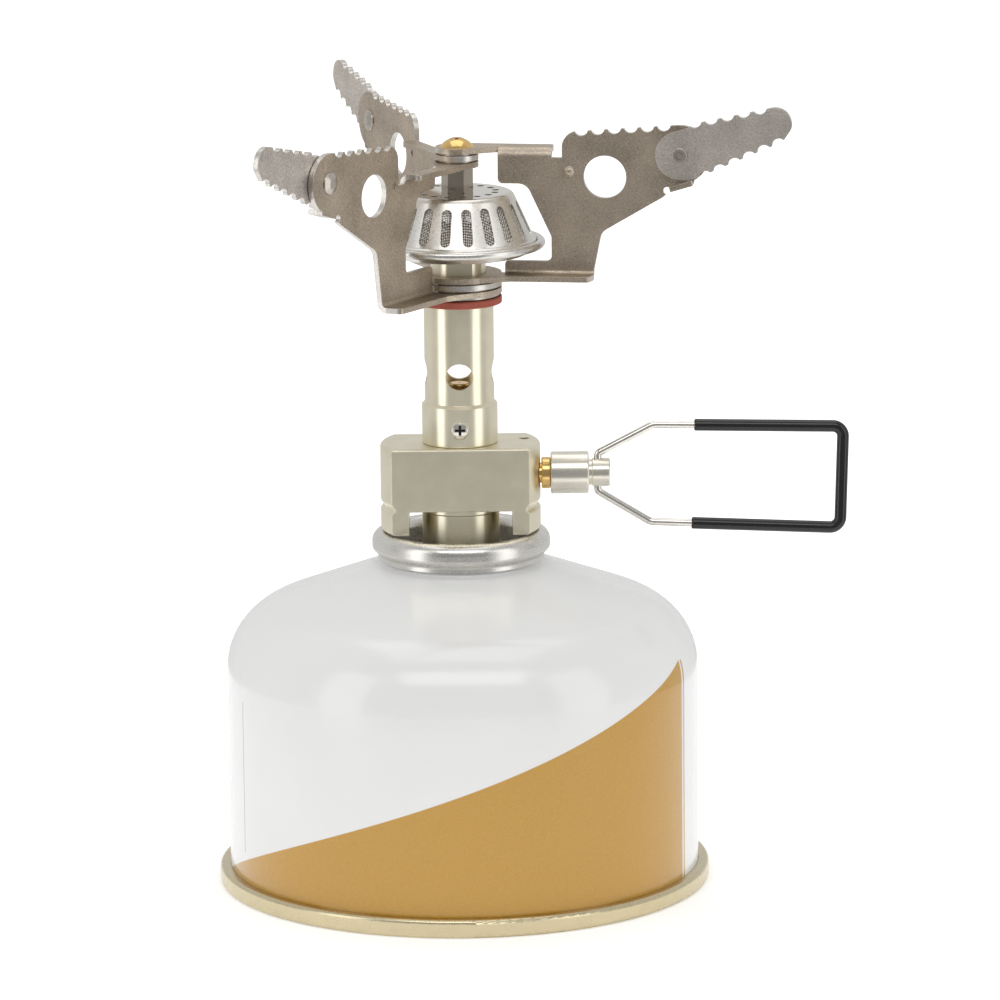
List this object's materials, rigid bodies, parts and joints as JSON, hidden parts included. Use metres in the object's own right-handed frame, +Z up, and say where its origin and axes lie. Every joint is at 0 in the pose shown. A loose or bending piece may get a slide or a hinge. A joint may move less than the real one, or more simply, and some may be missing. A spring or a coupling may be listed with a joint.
{
  "type": "canister stove",
  "caption": "Compact burner with folding toothed pot supports and a wire flame-control handle, screwed onto a squat resealable gas canister.",
  "frame": {"origin": "centre of the canister base plane, on the axis of the canister and the burner column", "axes": "+Z up along the column, +X along the needle spindle towards the wire handle"},
  "size_m": [0.1159, 0.107, 0.144],
  "materials": {
    "white_enamel": "gloss",
    "seam_tin": "satin",
    "tin_plate": "satin",
    "white_acetal": "matte",
    "black_rubber": "matte",
    "steel": "satin",
    "champagne": "satin anodised",
    "bronze": "sintered, matt",
    "brass": "polished",
    "wire_nickel": "drawn",
    "sleeve_black": "gloss",
    "fibre_red": "matte",
    "stainless": "satin",
    "mesh_steel": "woven",
    "bright_nickel": "polished",
    "titanium": "blasted",
    "titanium_pale": "blasted"
  },
  "bodies": {
    "canister": {"canister_shell": "white_enamel", "canister_base": "seam_tin", "valve_cup": "tin_plate", "valve_housing": "white_acetal", "valve_gasket": "black_rubber", "valve_spring": "steel"},
    "canister_pin": {"valve_pin": "white_acetal"},
    "seal": {"socket_o_ring": "black_rubber"},
    "stove": {"valve_block": "champagne", "canister_socket": "champagne", "push_pin": "brass", "inlet_filter": "bronze", "gland_nut": "brass", "gland_pin": "steel", "mixing_tube": "champagne", "collar_screws": "bright_nickel", "jet_holder": "brass", "jet": "brass", "burner_stem": "champagne", "fibre_washer": "fibre_red", "wave_washer": "steel", "ring_washers": "steel", "burner_base": "stainless", "burner_cap": "stainless", "flame_mesh": "mesh_steel", "burner_bridge": "steel", "burner_standoff": "bright_nickel", "top_washers": "steel", "top_screw": "brass", "arm_a_plate": "titanium", "arm_a_rivet": "steel"},
    "arm_b": {"arm_b_plate": "titanium", "arm_b_rivet": "steel"},
    "arm_c": {"arm_c_plate": "titanium", "arm_c_rivet": "steel"},
    "leaf_a": {"arm_a_leaf": "titanium_pale"},
    "leaf_b": {"arm_b_leaf": "titanium_pale"},
    "leaf_c": {"arm_c_leaf": "titanium_pale"},
    "spindle_seal": {"spindle_o_ring": "black_rubber"},
    "knob": {"needle_spindle": "brass", "control_knob": "champagne"},
    "handle": {"handle_wire": "wire_nickel", "handle_sleeve": "sleeve_black"}
  },
  "joints": [
    {"name": "seal_lift", "type": "slide", "parent": "canister", "child": "seal", "axis": [0, 0, 1], "range_m": [0, 0.00454]},
    {"name": "stove_unscrew", "type": "hinge", "parent": "seal", "child": "stove", "pos_m": [0, 0, 0.0665], "axis": [0, 0, 1], "range_deg": [0, 1800]},
    {"name": "valve_pin_rise", "type": "slide", "parent": "canister", "child": "canister_pin", "axis": [0, 0, 1], "range_m": [0, 0.0012]},
    {"name": "needle_travel", "type": "slide", "parent": "stove", "child": "spindle_seal", "axis": [1, 0, 0], "range_m": [0, 0.00125]},
    {"name": "knob_turn", "type": "hinge", "parent": "spindle_seal", "child": "knob", "pos_m": [0.0165, 0, 0.0756], "axis": [1, 0, 0], "range_deg": [0, 900]},
    {"name": "handle_fold", "type": "hinge", "parent": "knob", "child": "handle", "pos_m": [0.02505, 0, 0.0756], "axis": [0, 0, 1], "range_deg": [-90, 90]},
    {"name": "arm_b_swing", "type": "hinge", "parent": "stove", "child": "arm_b", "pos_m": [0, 0, 0.1112], "axis": [0, 0, 1], "range_deg": [-111, 0]},
    {"name": "arm_c_swing", "type": "hinge", "parent": "arm_b", "child": "arm_c", "pos_m": [0, 0, 0.1098], "axis": [0, 0, 1], "range_deg": [-113, 0]},
    {"name": "leaf_a_fold", "type": "hinge", "parent": "stove", "child": "leaf_a", "pos_m": [0.04026, -0.00566, 0.13508], "axis": [-0.1392, -0.9903, 0], "range_deg": [0, 155]},
    {"name": "leaf_b_fold", "type": "hinge", "parent": "arm_b", "child": "leaf_b", "pos_m": [-0.01595, 0.0374, 0.13508], "axis": [0.9198, 0.3923, 0], "range_deg": [0, 155]},
    {"name": "leaf_c_fold", "type": "hinge", "parent": "arm_c", "child": "leaf_c", "pos_m": [-0.02262, -0.03379, 0.13508], "axis": [-0.831, 0.5563, 0], "range_deg": [0, 155]}
  ],
  "couplings": [
    {"joint": "stove_unscrew", "follows": "seal_lift", "rad_per_m": 6926.7},
    {"joint": "valve_pin_rise", "follows": "seal_lift", "ratio": 0.26458},
    {"joint": "needle_travel", "follows": "knob_turn", "m_per_rad": 0.000079577}
  ]
}
